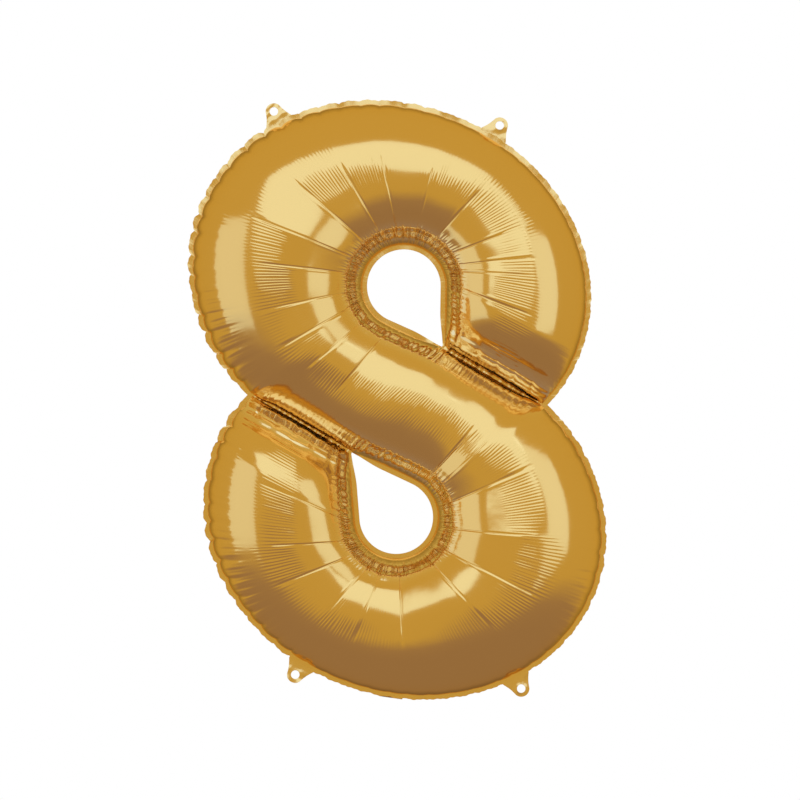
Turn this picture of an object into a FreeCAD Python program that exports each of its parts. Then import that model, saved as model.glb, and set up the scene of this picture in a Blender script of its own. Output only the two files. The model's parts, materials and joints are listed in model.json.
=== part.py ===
import FreeCAD, Part
import os
import Sketcher

# A foil number balloon, the digit 8.  Two printed foil panels are heat sealed
# round the digit's outline, round its two eyes and along the two short welds
# where each arm of the digit ends against the diagonal.  Inflated, the digit is
# one long S shaped tube: it starts at the upper weld, runs anticlockwise round
# the upper eye, crosses by the diagonal, and runs clockwise round the lower eye
# to the lower weld.
#
# +X is to the digit's right, +Z is up and -Y is the front.  The outline is laid
# out round the middle of the digit, and the middle is as high as it takes for the
# lowest point of the outline to be at Z = 0.  The lower half of the digit is the
# upper half turned through half a turn about Y.

doc = FreeCAD.newDocument("foil_balloon_eight")

# ---------------------------------------------------------------- the sizes
# Lengths in millimetres, angles in degrees.
SIZES = [
    # the two lobes of the outline, congruent ellipses
    ("lobe_half_length", 285.6, "half the long axis of a lobe, seam included"),
    ("lobe_half_breadth", 247.3, "half the short axis of a lobe, seam included"),
    ("lobe_tilt", 20.0, "fall of the long axis towards the right"),
    ("lobe_shift", 10.4, "upper lobe's centre, left of the middle"),
    ("lobe_rise", 167.3, "upper lobe's centre, above the middle"),
    # the two eyes, round holes with one pointed corner
    ("eye_radius", 51.5, "round part of the open eye"),
    ("upper_eye_right", 8.9, "upper eye, right of the middle"),
    ("upper_eye_rise", 159.2, "upper eye, above the middle"),
    ("lower_eye_left", 1.8, "lower eye, left of the middle"),
    ("lower_eye_drop", 164.0, "lower eye, below the middle"),
    # welds between the arm ends and the diagonal
    ("weld_angle", 30.4, "fall of the welds towards the right"),
    ("weld_width", 6.0, "width of the fused line"),
    ("upper_weld_length", 158.0, "from the outline to the upper eye's corner"),
    ("lower_weld_length", 156.0, "from the outline to the lower eye's corner"),
    # heat seals
    ("seam_width", 6.5, "flat margin outside the inflated tube"),
    ("seam_thickness", 0.6, "stands in for two fused foils"),
    ("seam_bite", 3.0, "how far a seal reaches in between the panels"),
    # inflated tube
    ("wall", 0.8, "stands in for one foil"),
    ("tube_roundness", 0.82, "depth of the tube over its width"),
    ("arm_end_round", 75.0, "run over which an arm swells from its weld"),
    ("arm_end_half_depth", 4.0, "half depth of the tube at a weld"),
    ("notch_lag", 40.0, "turn round an eye from the waist to its tangent"),
    # hanging tabs
    ("tab_hole_radius", 6.0, "punched hole for a ribbon"),
    ("tab_end_radius", 11.0, "round end of a tab, about its hole"),
    ("tab_flare_radius", 11.0, "hollow flare at the root of a tab"),
    ("tab_reach", 15.5, "hole's centre from the tab's root"),
    ("tab_lip", 1.0, "straight edge of the root below the flare"),
    ("tab_thickness", 0.6, "stands in for two fused foils"),
    ("tab_gap", 0.8, "flexing line between the outline and a tab"),
    ("high_tab_angle", 141.0, "place of the outer tab of a lobe"),
    ("low_tab_angle", 76.5, "place of the inner tab of a lobe"),
    # valve
    ("valve_angle", 103.5, "place of the valve on the lower lobe"),
    ("valve_width", 26.0, "width of the valve films inside"),
    ("valve_length", 140.0, "length of the valve films inside"),
    ("valve_film", 0.5, "thickness of one valve film"),
    ("valve_parting", 0.2, "space between the two valve films"),
    ("valve_lap", 0.4, "how far the valve films lap the seal"),
    ("tail_width", 32.0, "width of the filling tail outside"),
    ("tail_length", 38.0, "length of the filling tail"),
    ("tail_thickness", 1.6, "the flattened sleeve, both films"),
    ("tail_slot_width", 20.0, "way for the filling nozzle"),
    ("tail_slot", 0.6, "height of that way, flattened"),
    ("tail_gap", 2.2, "flexing line between the outline and the tail"),
    ("tail_hinge", 0.5, "crease of the tail from the outline"),
    ("tail_corner", 6.0, "round corners of the tail's mouth"),
    ("tail_fold", 104.0, "how far the tail is folded back and up"),
]
SHELL_SPAN = 900.0

sheet = doc.addObject("Spreadsheet::Sheet", "Sizes")
for row, (alias, value, meaning) in enumerate(SIZES, start=1):
    sheet.set("A%d" % row, alias)
    sheet.set("B%d" % row, str(value))
    sheet.set("C%d" % row, meaning)
    sheet.setAlias("B%d" % row, alias)
doc.recompute()

# --------------------------------------------------- places that follow from them
layout = doc.addObject("App::VarSet", "Layout")


def derive(name, expression):
    """Adds a place or an angle that follows from the sizes."""
    layout.addProperty("App::PropertyFloat", name, "Layout", "")
    layout.setExpression(name, expression)


derive("tilt_cos", "cos(Sizes.lobe_tilt)")
derive("tilt_sin", "sin(Sizes.lobe_tilt)")
derive("weld_cos", "cos(Sizes.weld_angle)")
derive("weld_sin", "sin(Sizes.weld_angle)")
derive("rail_length", "Sizes.lobe_half_length - Sizes.seam_width")
derive("rail_breadth", "Sizes.lobe_half_breadth - Sizes.seam_width")
derive("rail_eye", "Sizes.eye_radius + Sizes.seam_width")
# The upper lobe's centre along its own two axes.
derive("centre_along", "-Sizes.lobe_shift * tilt_cos - Sizes.lobe_rise * tilt_sin")
derive("centre_across", "-Sizes.lobe_shift * tilt_sin + Sizes.lobe_rise * tilt_cos")
# Two ellipses that are each other's half turn meet on a line through the middle,
# so the waist of the digit has a closed form.
derive("waist_along", "centre_across / rail_breadth^2")
derive("waist_across", "-centre_along / rail_length^2")
derive(
    "waist_scale",
    "sqrt((1 - (centre_along / rail_length)^2 - (centre_across / rail_breadth)^2)"
    " / ((waist_along / rail_length)^2 + (waist_across / rail_breadth)^2))",
)
derive("waist_u", "waist_scale * waist_along")
derive("waist_v", "waist_scale * waist_across")
derive("waist_x", "waist_u * tilt_cos + waist_v * tilt_sin")
derive("waist_z", "-waist_u * tilt_sin + waist_v * tilt_cos")
derive(
    "lobe_start",
    "atan2((waist_v - centre_across) / rail_breadth;"
    " (waist_u - centre_along) / rail_length) / 1deg",
)
derive(
    "lobe_finish",
    "360 + atan2((-waist_v - centre_across) / rail_breadth;"
    " (-waist_u - centre_along) / rail_length) / 1deg",
)
derive(
    "centre_height",
    "Sizes.lobe_rise + sqrt((Sizes.lobe_half_length * tilt_sin)^2"
    " + (Sizes.lobe_half_breadth * tilt_cos)^2)",
)
# Distance of a weld from the middle, square to it.
derive("weld_offset", "waist_x * weld_sin + waist_z * weld_cos")

# Each half's eye and corner, for the lower half as they are after half a turn.
HALVES = {
    "upper": ("Sizes.upper_eye_right", "Sizes.upper_eye_rise"),
    "lower": ("Sizes.lower_eye_left", "Sizes.lower_eye_drop"),
}
for half, (eye_x, eye_z) in HALVES.items():
    derive(half + "_eye_x", eye_x)
    derive(half + "_eye_z", eye_z)
    length = "Sizes.%s_weld_length" % half
    derive(half + "_corner_x", "waist_x - %s * weld_cos" % length)
    derive(half + "_corner_z", "waist_z + %s * weld_sin" % length)
    across = "(%s_corner_x - %s_eye_x)" % (half, half)
    up = "(%s_corner_z - %s_eye_z)" % (half, half)
    derive(half + "_corner_reach", "sqrt(%s^2 + %s^2)" % (across, up))
    derive(half + "_corner_angle", "atan2(%s; %s) / 1deg" % (up, across))
    derive(half + "_tangent", "acos(rail_eye / %s_corner_reach) / 1deg" % half)
doc.recompute()


# ------------------------------------------------------------ points of the rails
# A point is a pair of expressions, X and Z, in the upper half's frame.
def lobe_point(angle, length="Layout.rail_length", breadth="Layout.rail_breadth"):
    along = "%s * cos(%s)" % (length, angle)
    across = "%s * sin(%s)" % (breadth, angle)
    return (
        "-Sizes.lobe_shift + %s * Layout.tilt_cos + %s * Layout.tilt_sin" % (along, across),
        "Sizes.lobe_rise - %s * Layout.tilt_sin + %s * Layout.tilt_cos" % (along, across),
    )


def eye_point(half, angle):
    return (
        "Layout.%s_eye_x + Layout.rail_eye * cos(%s)" % (half, angle),
        "Layout.%s_eye_z + Layout.rail_eye * sin(%s)" % (half, angle),
    )


def weld_point(half, share, clear):
    """A point beside a weld: share 0 at the eye's corner and 1 at the waist,
    clear to the side of the weld, plus towards the arm."""
    run = "%s * Sizes.%s_weld_length" % (share, half)
    return (
        "Layout.%s_corner_x + %s * Layout.weld_cos + (%s) * Layout.weld_sin" % (half, run, clear),
        "Layout.%s_corner_z - %s * Layout.weld_sin + (%s) * Layout.weld_cos" % (half, run, clear),
    )


def between(first, second, share):
    return tuple("(1 - %s) * (%s) + %s * (%s)" % (share, a, share, b) for a, b in zip(first, second))


def turned(point):
    """The same point after half a turn about Y."""
    return tuple("-(%s)" % value for value in point)


# --------------------------------------------------------- stations of the S tube
LOBE_STEPS = 26
ARM_STEPS = 2
ARM_SHARES = [0.0, 0.04, 0.1, 0.19, 0.3, 0.45, 0.62, 0.8]
WELD_SHARES = [0.08, 0.27, 0.49, 0.76]


def arm_and_lobe(half, inset):
    """Stations from a weld round the eye to the waist, as (eye side, outside,
    whether the arm is still swelling from its weld)."""
    start = "Layout.lobe_start"
    sweep = "(Layout.lobe_finish - Layout.lobe_start)"
    first = "(Layout.%s_corner_angle + Layout.%s_tangent)" % (half, half)
    last = "(360 + Layout.%s_corner_angle - Layout.%s_tangent - Sizes.notch_lag)" % (half, half)
    clear = "Sizes.weld_width / 2 + %s" % inset
    corner = weld_point(half, 0.0, clear)
    stations = []
    for share in ARM_SHARES:
        if share == 0.0:
            outside = weld_point(half, 1.0, clear)
        else:
            outside = lobe_point("%s + %s * %s / %d" % (start, sweep, share * ARM_STEPS, LOBE_STEPS))
        stations.append((between(corner, eye_point(half, first), share), outside, True))
    for step in range(ARM_STEPS, LOBE_STEPS + 1):
        round_eye = (step - ARM_STEPS, LOBE_STEPS - ARM_STEPS)
        turn = "%s + (%s - %s) * %d / %d" % ((first, last, first) + round_eye)
        if step == LOBE_STEPS:
            outside = turned(weld_point(OTHER[half], 1.0, "-Sizes.weld_width / 2"))
        else:
            outside = lobe_point("%s + %s * %d / %d" % (start, sweep, step, LOBE_STEPS))
        stations.append((eye_point(half, turn), outside, step == ARM_STEPS))
    return stations


def diagonal_side(half):
    """The diagonal's edge beside one eye and its weld, from the waist behind the
    eye to the waist where the weld ends."""
    last = "(360 + Layout.%s_corner_angle - Layout.%s_tangent)" % (half, half)
    tangent = eye_point(half, last)
    clear = "-Sizes.weld_width / 2"
    corner = weld_point(half, 0.0, clear)
    side = [
        eye_point(half, "(%s - Sizes.notch_lag / 2)" % last),
        tangent,
        between(tangent, corner, 0.5),
        corner,
    ]
    return side + [weld_point(half, share, clear) for share in WELD_SHARES]


OTHER = {"upper": "lower", "lower": "upper"}


def tube_stations(inset):
    """Every station of the tube, as (left rail, right rail, which weld it swells
    from: 1 the upper, -1 the lower, 0 neither)."""
    stations = [(a, b, 1 if swelling else 0) for a, b, swelling in arm_and_lobe("upper", inset)]
    upper_side = diagonal_side("upper")
    lower_side = [turned(point) for point in reversed(diagonal_side("lower"))]
    stations += [(a, b, 0) for a, b in zip(upper_side, lower_side)]
    for a, b, swelling in reversed(arm_and_lobe("lower", inset)):
        stations.append((turned(b), turned(a), -1 if swelling else 0))
    return stations


def section(name, left, right, swelling, inset):
    """One elliptical section of the tube, standing on its two rail points."""
    ellipse = doc.addObject("Part::Ellipse", name)
    for prop, expression in (
        ("LeftX", left[0]),
        ("LeftZ", left[1]),
        ("RightX", right[0]),
        ("RightZ", right[1]),
        ("Half", "sqrt((RightX - LeftX)^2 + (RightZ - LeftZ)^2) / 2"),
    ):
        ellipse.addProperty("App::PropertyFloat", prop, "Rails", "")
        ellipse.setExpression(prop, expression)
    depth = "Sizes.tube_roundness * Half"
    if swelling:
        ellipse.addProperty("App::PropertyFloat", "FromWeld", "Rails", "")
        ellipse.setExpression(
            "FromWeld",
            "%d * ((LeftX + RightX) * Layout.weld_sin + (LeftZ + RightZ) * Layout.weld_cos) / 2"
            " - Layout.weld_offset - Sizes.weld_width / 2" % swelling,
        )
        share = "max(0; min(1; FromWeld / Sizes.arm_end_round))"
        depth = "max(Sizes.arm_end_half_depth; %s * sqrt(1 - (1 - %s)^2))" % (depth, share)
    ellipse.setExpression("MajorRadius", "Half - %s" % inset)
    ellipse.setExpression("MinorRadius", "%s - %s" % (depth, inset))
    ellipse.setExpression(
        "Placement",
        "placement(vector((LeftX + RightX) / 2; 0; (LeftZ + RightZ) / 2 + Layout.centre_height);"
        " rotation(vector(0; 1; 0); -atan2(RightZ - LeftZ; RightX - LeftX) / 1deg))",
    )
    return ellipse


def tube(name, inset):
    """The inflated tube, filled, with its skin inset by a wall or by nothing.
    Part::Loft refuses closed ellipses that turn through more than a right angle,
    so the ruled loft is made through the same sections as B-splines."""
    sections = [
        section("%s_section_%02d" % (name, number), left, right, swelling, inset)
        for number, (left, right, swelling) in enumerate(tube_stations(inset))
    ]
    doc.recompute()
    wires = []
    for ellipse in sections:
        edge = ellipse.Shape.Edges[0]
        curve = edge.Curve.toBSpline(*edge.ParameterRange)
        wires.append(Part.Wire([curve.toShape()]))
    filled = doc.addObject("Part::Feature", name)
    filled.Shape = Part.makeLoft(wires, True, True)
    return filled


def cut(name, base, tool):
    result = doc.addObject("Part::Cut", name)
    result.Base = base
    result.Tool = tool
    return result


def fuse(name, shapes):
    result = doc.addObject("Part::MultiFuse", name)
    result.Shapes = shapes
    return result


def common(name, base, tool):
    result = doc.addObject("Part::Common", name)
    result.Base = base
    result.Tool = tool
    return result


# ------------------------------------------------------------------- the panels
skin = cut("tube_skin", tube("tube_outside", "0"), tube("tube_inside", "Sizes.wall"))


def half_space(name, front):
    """A block on one side of the plane of the seals."""
    block = doc.addObject("Part::Box", name)
    block.Length = 2 * SHELL_SPAN
    block.Width = SHELL_SPAN
    block.Height = 2 * SHELL_SPAN
    edge = "-%s - Sizes.seam_thickness / 2" % SHELL_SPAN if front else "Sizes.seam_thickness / 2"
    block.setExpression(
        "Placement",
        "placement(vector(-%s; %s; -%s); rotation(vector(0; 1; 0); 0))" % (SHELL_SPAN, edge, SHELL_SPAN),
    )
    return block


panels = [
    common("front_panel", skin, half_space("front_side", True)),
    common("back_panel", skin, half_space("back_side", False)),
]

# -------------------------------------------------------------------- the seals


def lobe_plate(name, half, inset):
    """A flat elliptical plate of one lobe, inset from the outline."""
    sign = {"upper": "", "lower": "-"}[half]
    ellipse = doc.addObject("Part::Ellipse", name + "_edge")
    ellipse.setExpression("MajorRadius", "Sizes.lobe_half_length - (%s)" % inset)
    ellipse.setExpression("MinorRadius", "Sizes.lobe_half_breadth - (%s)" % inset)
    ellipse.setExpression(
        "Placement",
        "placement(vector(%s(-Sizes.lobe_shift); 0; %s(Sizes.lobe_rise) + Layout.centre_height);"
        " rotation(vector(0; 1; 0); Sizes.lobe_tilt))"
        " * placement(vector(0; 0; 0); rotation(vector(1; 0; 0); 90))" % (sign, sign),
    )
    plate = doc.addObject("Part::Extrusion", name)
    plate.Base = ellipse
    plate.DirMode = "Normal"
    plate.Solid = True
    plate.Symmetric = True
    plate.setExpression("LengthFwd", "Sizes.seam_thickness")
    return plate


def eye_plate(name, half, grow, thickness):
    """A flat plate of one eye: a disc and the wedge that runs to its corner."""
    sign = {"upper": "", "lower": "-"}[half]
    quarter = {"upper": "", "lower": " + 180"}[half]
    radius = "(Layout.rail_eye + (%s))" % grow
    reach = "(Layout.{0}_corner_reach * (1 + ({1}) / Layout.rail_eye))".format(half, grow)
    centre = "vector(%s(Layout.%s_eye_x); 0; %s(Layout.%s_eye_z) + Layout.centre_height)"
    centre = centre % (sign, half, sign, half)
    disc = doc.addObject("Part::Cylinder", name + "_disc")
    disc.setExpression("Radius", radius)
    disc.setExpression("Height", thickness)
    disc.setExpression(
        "Placement",
        "placement(%s; rotation(vector(1; 0; 0); 90))"
        " * placement(vector(0; 0; -(%s) / 2); rotation(vector(1; 0; 0); 0))" % (centre, thickness),
    )
    wedge = doc.addObject("Part::Wedge", name + "_wedge")
    chord = "%s * sqrt(1 - (%s / %s)^2)" % (radius, radius, reach)
    for prop, expression in (
        ("Xmin", "-%s" % chord),
        ("Xmax", chord),
        ("X2min", "0"),
        ("X2max", "0"),
        ("Ymin", "%s^2 / %s" % (radius, reach)),
        ("Ymax", reach),
        ("Zmin", "-(%s) / 2" % thickness),
        ("Zmax", "(%s) / 2" % thickness),
        ("Z2min", "-(%s) / 2" % thickness),
        ("Z2max", "(%s) / 2" % thickness),
    ):
        wedge.setExpression(prop, expression)
    wedge.setExpression(
        "Placement",
        "placement(%s; rotation(vector(0; 1; 0); 90 - Layout.%s_corner_angle%s))"
        " * placement(vector(0; 0; 0); rotation(vector(1; 0; 0); 90))" % (centre, half, quarter),
    )
    return fuse(name, [disc, wedge])


outline = fuse("outline_plate", [lobe_plate("%s_lobe_plate" % half, half, "0") for half in HALVES])
inner_edge = "Sizes.seam_width + Sizes.seam_bite"
inside = fuse("inside_plate", [lobe_plate("%s_lobe_inside" % half, half, inner_edge) for half in HALVES])
outer_heat_seal = cut("outer_heat_seal", outline, inside)

eye_seals = {}
arm_welds = {}
for half in HALVES:
    eye_seals[half] = cut(
        "%s_eye_heat_seal" % half,
        eye_plate("%s_eye_plate" % half, half, "Sizes.seam_bite", "Sizes.seam_thickness"),
        eye_plate("%s_eye_opening" % half, half, "-Sizes.seam_width", "3 * Sizes.seam_thickness"),
    )
    bar = doc.addObject("Part::Box", "%s_weld_bar" % half)
    bar.setExpression("Length", "Sizes.%s_weld_length + Sizes.seam_width" % half)
    bar.setExpression("Width", "Sizes.seam_thickness")
    bar.setExpression("Height", "Sizes.weld_width + 2 * Sizes.seam_bite")
    sign = {"upper": "", "lower": "-"}[half]
    turn = {"upper": "", "lower": " + 180"}[half]
    bar.setExpression(
        "Placement",
        "placement(vector(%s(Layout.%s_corner_x); 0; %s(Layout.%s_corner_z) + Layout.centre_height);"
        " rotation(vector(0; 1; 0); Sizes.weld_angle%s))"
        " * placement(vector(0; -Sizes.seam_thickness / 2; -Sizes.weld_width / 2 - Sizes.seam_bite);"
        " rotation(vector(0; 1; 0); 0))" % (sign, half, sign, half, turn),
    )
    past_eye = cut("%s_weld_past_eye" % half, bar, eye_seals[half])
    arm_welds[half] = cut("%s_arm_weld" % half, past_eye, outer_heat_seal)

pieces = panels + [outer_heat_seal] + list(eye_seals.values()) + list(arm_welds.values())

# ----------------------------------------------------------- pieces on the outline


def sketch_on(body, name, role):
    """A sketch on one of a body's own origin planes."""
    sketch = body.newObject("Sketcher::SketchObject", name)
    plane = [item for item in body.Origin.OriginFeatures if item.Role == role][0]
    sketch.AttachmentSupport = [(plane, "")]
    sketch.MapMode = "FlatFace"
    return sketch


def bind(sketch, name, kind, where, value, expression):
    """Adds a driving dimension and ties it to the sheet."""
    number = sketch.addConstraint(Sketcher.Constraint(kind, *where, value))
    sketch.renameConstraint(number, name)
    sketch.setExpression("Constraints." + name, expression)


def on_outline(angle, half, fold="0"):
    """The place on the outline at an angle round a lobe, with local +Z outwards and
    local X along the outline, then folded back about it."""
    x, z = lobe_point(angle, "Sizes.lobe_half_length", "Sizes.lobe_half_breadth")
    out_x = "(cos({0}) / Sizes.lobe_half_length * Layout.tilt_cos"
    out_x += " + sin({0}) / Sizes.lobe_half_breadth * Layout.tilt_sin)"
    out_z = "(-cos({0}) / Sizes.lobe_half_length * Layout.tilt_sin"
    out_z += " + sin({0}) / Sizes.lobe_half_breadth * Layout.tilt_cos)"
    facing = "atan2(%s; %s) / 1deg" % (out_x.format(angle), out_z.format(angle))
    sign, turn = {"upper": ("", ""), "lower": ("-", " + 180")}[half]
    return (
        "placement(vector({0}({1}); 0; {0}({2}) + Layout.centre_height);"
        " rotation(vector(0; 1; 0); {3}{4}))"
        " * placement(vector(0; 0; {5}); rotation(vector(1; 0; 0); -({6})))"
    ).format(sign, x, z, facing, turn, "Sizes.tail_hinge" if fold != "0" else "0", fold)


def tab(name, half, angle):
    """A hanging tab: both foils fused, flared at the root, punched at the end."""
    body = doc.addObject("PartDesign::Body", name)
    sketch = sketch_on(body, name + "_shape", "XZ_Plane")
    vector = FreeCAD.Vector
    up = vector(0, 0, 1)
    root = [vector(-22, 1, 0), vector(22, 1, 0)]
    lip = [vector(-22, 2, 0), vector(22, 2, 0)]
    sketch.addGeometry(Part.LineSegment(root[0], root[1]))
    sketch.addGeometry(Part.LineSegment(root[1], lip[1]))
    sketch.addGeometry(Part.ArcOfCircle(Part.Circle(vector(22, 13, 0), up, 11), 3.3, 4.7))
    sketch.addGeometry(Part.ArcOfCircle(Part.Circle(vector(0, 16, 0), up, 11), -0.1, 3.24))
    sketch.addGeometry(Part.ArcOfCircle(Part.Circle(vector(-22, 13, 0), up, 11), -1.56, -0.1))
    sketch.addGeometry(Part.LineSegment(lip[0], root[0]))
    sketch.addGeometry(Part.Circle(vector(0, 16, 0), up, 6))
    rules = [
        ("Coincident", 0, 2, 1, 1),
        ("Coincident", 1, 2, 2, 2),
        ("Tangent", 2, 1, 3, 1),
        ("Tangent", 3, 2, 4, 2),
        ("Coincident", 4, 1, 5, 1),
        ("Coincident", 5, 2, 0, 1),
        ("Vertical", 1),
        ("Vertical", 5),
        ("Vertical", 2, 3, 1, 2),
        ("Vertical", 4, 3, 5, 1),
        ("Equal", 2, 4),
        ("Symmetric", 0, 1, 0, 2, -2),
        ("PointOnObject", 3, 3, -2),
        ("Coincident", 6, 3, 3, 3),
    ]
    for rule in rules:
        sketch.addConstraint(Sketcher.Constraint(*rule))
    bind(sketch, "Lip", "DistanceY", (1, 1, 1, 2), 1.0, "Sizes.tab_lip")
    bind(sketch, "Gap", "DistanceY", (-1, 1, 0, 1), 0.8, "Sizes.tab_gap")
    bind(sketch, "Reach", "DistanceY", (-1, 1, 3, 3), 16.3, "Sizes.tab_gap + Sizes.tab_reach")
    bind(sketch, "Flare", "Radius", (2,), 11.0, "Sizes.tab_flare_radius")
    bind(sketch, "End", "Radius", (3,), 11.0, "Sizes.tab_end_radius")
    bind(sketch, "Hole", "Radius", (6,), 6.0, "Sizes.tab_hole_radius")
    pad = body.newObject("PartDesign::Pad", name + "_pad")
    pad.Profile = sketch
    pad.SideType = "Symmetric"
    pad.setExpression("Length", "Sizes.tab_thickness")
    body.Tip = pad
    body.setExpression("Placement", on_outline(angle, half))
    return body


tabs = [
    tab("upper_left_tab", "upper", "Sizes.high_tab_angle"),
    tab("upper_right_tab", "upper", "Sizes.low_tab_angle"),
    tab("lower_right_tab", "lower", "Sizes.high_tab_angle"),
    tab("lower_left_tab", "lower", "Sizes.low_tab_angle"),
]


# ------------------------------------------------------------------------ valve
def valve_film(name, front):
    """One of the two films of the self sealing valve.  It hangs in the tube from
    the bottom seal, and the gas presses it flat against the other one."""
    strip = doc.addObject("Part::Box", name + "_strip")
    strip.setExpression("Length", "Sizes.valve_width")
    strip.setExpression("Width", "Sizes.valve_film")
    strip.setExpression("Height", "Sizes.valve_length")
    across = "Sizes.valve_parting / 2"
    if front:
        across = "-Sizes.valve_parting / 2 - Sizes.valve_film"
    depth = "(Sizes.seam_width + Sizes.seam_bite - Sizes.valve_lap)"
    strip.setExpression(
        "Placement",
        "%s * placement(vector(-Sizes.valve_width / 2; %s; -%s - Sizes.valve_length);"
        " rotation(vector(0; 1; 0); 0))"
        % (on_outline("Sizes.valve_angle", "lower"), across, depth),
    )
    return cut(name, strip, outer_heat_seal)


pieces += [valve_film("valve_front_film", True), valve_film("valve_back_film", False)]


def rectangle(sketch, width, height, low):
    """A rectangle about the sketch's vertical axis, from low upwards."""
    corners = [(-10, 5), (10, 5), (10, 25), (-10, 25)]
    points = [FreeCAD.Vector(x, y, 0) for x, y in corners]
    for number in range(4):
        sketch.addGeometry(Part.LineSegment(points[number], points[(number + 1) % 4]))
    for number in range(4):
        sketch.addConstraint(Sketcher.Constraint("Coincident", number, 2, (number + 1) % 4, 1))
    for rule in (("Horizontal", 2), ("Vertical", 1), ("Vertical", 3)):
        sketch.addConstraint(Sketcher.Constraint(*rule))
    sketch.addConstraint(Sketcher.Constraint("Symmetric", 0, 1, 0, 2, -2))
    bind(sketch, "Width", "DistanceX", (0, 1, 0, 2), 20.0, width)
    bind(sketch, "Height", "DistanceY", (1, 1, 1, 2), 20.0, height)
    bind(sketch, "Low", "DistanceY", (-1, 1, 0, 1), 5.0, low)


# The filling tail is the part of the valve's sleeve that stands outside the seal.
# It is creased at its root and folded up behind the balloon.
valve_tail = doc.addObject("PartDesign::Body", "valve_tail")
tail_outline = sketch_on(valve_tail, "tail_outline", "XZ_Plane")
rectangle(tail_outline, "Sizes.tail_width", "Sizes.tail_length", "Sizes.tail_gap - Sizes.tail_hinge")
tail_pad = valve_tail.newObject("PartDesign::Pad", "tail_pad")
tail_pad.Profile = tail_outline
tail_pad.SideType = "Symmetric"
tail_pad.setExpression("Length", "Sizes.tail_thickness")
doc.recompute()
mouth = tail_pad.Shape.BoundBox.ZMax
mouth_edges = []
for number, edge in enumerate(tail_pad.Shape.Edges, start=1):
    box = edge.BoundBox
    if box.ZMin > mouth - 0.01 and box.YLength > 0.01 and box.XLength < 0.01:
        mouth_edges.append("Edge%d" % number)
tail_corners = valve_tail.newObject("PartDesign::Fillet", "tail_corners")
tail_corners.Base = (tail_pad, mouth_edges)
tail_corners.setExpression("Radius", "Sizes.tail_corner")
doc.recompute()
tail_way = sketch_on(valve_tail, "tail_way", "YZ_Plane")
rectangle(
    tail_way,
    "Sizes.tail_slot",
    "Sizes.tail_length + 2 * Sizes.tail_gap",
    "Sizes.tail_gap - Sizes.tail_hinge - Sizes.tail_gap / 2",
)
tail_slot = valve_tail.newObject("PartDesign::Pocket", "tail_slot")
tail_slot.Profile = tail_way
tail_slot.SideType = "Symmetric"
tail_slot.setExpression("Length", "Sizes.tail_slot_width")
valve_tail.Tip = tail_slot
valve_tail.setExpression(
    "Placement", on_outline("Sizes.valve_angle", "lower", "Sizes.tail_fold")
)

# ------------------------------------------------------------- check and write
pieces += tabs + [valve_tail]
doc.recompute()

for item in doc.Objects:
    if "Invalid" in item.State or "Error" in item.State:
        raise RuntimeError("%s did not build: %s" % (item.Name, item.State))
os.makedirs("parts", exist_ok=True)
for piece in pieces:
    if piece.Shape.isNull() or not piece.Shape.isValid() or len(piece.Shape.Solids) != 1:
        raise RuntimeError("%s is not one valid solid" % piece.Label)
for piece in pieces:
    piece.Shape.exportStep("parts/%s.step" % piece.Label)
    box = piece.Shape.BoundBox
    corners = (box.XMin, box.XMax, box.YMin, box.YMax, box.ZMin, box.ZMax)
    print("%-22s %9.0f mm3  " % (piece.Label, piece.Shape.Volume) + "%8.1f" * 6 % corners)
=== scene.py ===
import json
import math

import bpy
import numpy as np
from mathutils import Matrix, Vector
from mathutils.geometry import delaunay_2d_cdt

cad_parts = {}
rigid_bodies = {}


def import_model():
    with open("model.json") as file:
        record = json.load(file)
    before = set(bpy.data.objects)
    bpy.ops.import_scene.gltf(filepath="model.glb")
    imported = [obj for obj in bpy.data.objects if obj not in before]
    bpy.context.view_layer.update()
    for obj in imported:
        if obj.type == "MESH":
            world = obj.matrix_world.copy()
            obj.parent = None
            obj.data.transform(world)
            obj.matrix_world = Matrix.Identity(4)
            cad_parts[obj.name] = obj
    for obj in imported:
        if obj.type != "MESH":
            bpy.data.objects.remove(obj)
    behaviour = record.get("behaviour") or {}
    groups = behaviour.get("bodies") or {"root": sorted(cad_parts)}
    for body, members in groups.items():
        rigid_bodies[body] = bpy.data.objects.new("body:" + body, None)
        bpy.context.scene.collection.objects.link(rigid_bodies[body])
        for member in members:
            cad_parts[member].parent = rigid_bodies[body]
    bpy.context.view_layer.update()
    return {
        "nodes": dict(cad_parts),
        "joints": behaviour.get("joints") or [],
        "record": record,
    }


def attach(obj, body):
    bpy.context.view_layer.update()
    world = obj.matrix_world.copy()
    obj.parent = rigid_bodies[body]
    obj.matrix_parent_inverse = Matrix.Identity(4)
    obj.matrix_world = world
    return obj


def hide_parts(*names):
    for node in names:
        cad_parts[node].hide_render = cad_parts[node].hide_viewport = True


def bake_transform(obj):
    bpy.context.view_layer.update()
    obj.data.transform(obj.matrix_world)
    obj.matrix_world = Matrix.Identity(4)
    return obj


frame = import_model()

bl_info = {
    "name": "Foil Balloon Eight",
    "version": (1, 0, 0),
    "blender": (4, 5, 0),
    "location": "View3D > Sidebar > Balloon",
    "description": "Gold foil number balloon with its seams, tabs and valve tail",
    "category": "Object",
}

# The lower half of the digit is the upper half turned half a turn, so each half is
# made in the upper half's frame. The sign takes its points into the digit's frame.
HALVES = {"upper": 1, "lower": -1}
# Angles of the radial creases round each eye, in degrees.
CREASES = {
    "upper": (3, 19, 26, 38, 58, 77, 96, 112, 130, 150, 167, 186, 201, 222, 251),
    "lower": (7, 31, 46, 64, 77, 94, 127, 146, 168, 194, 216, 233),
}
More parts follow.
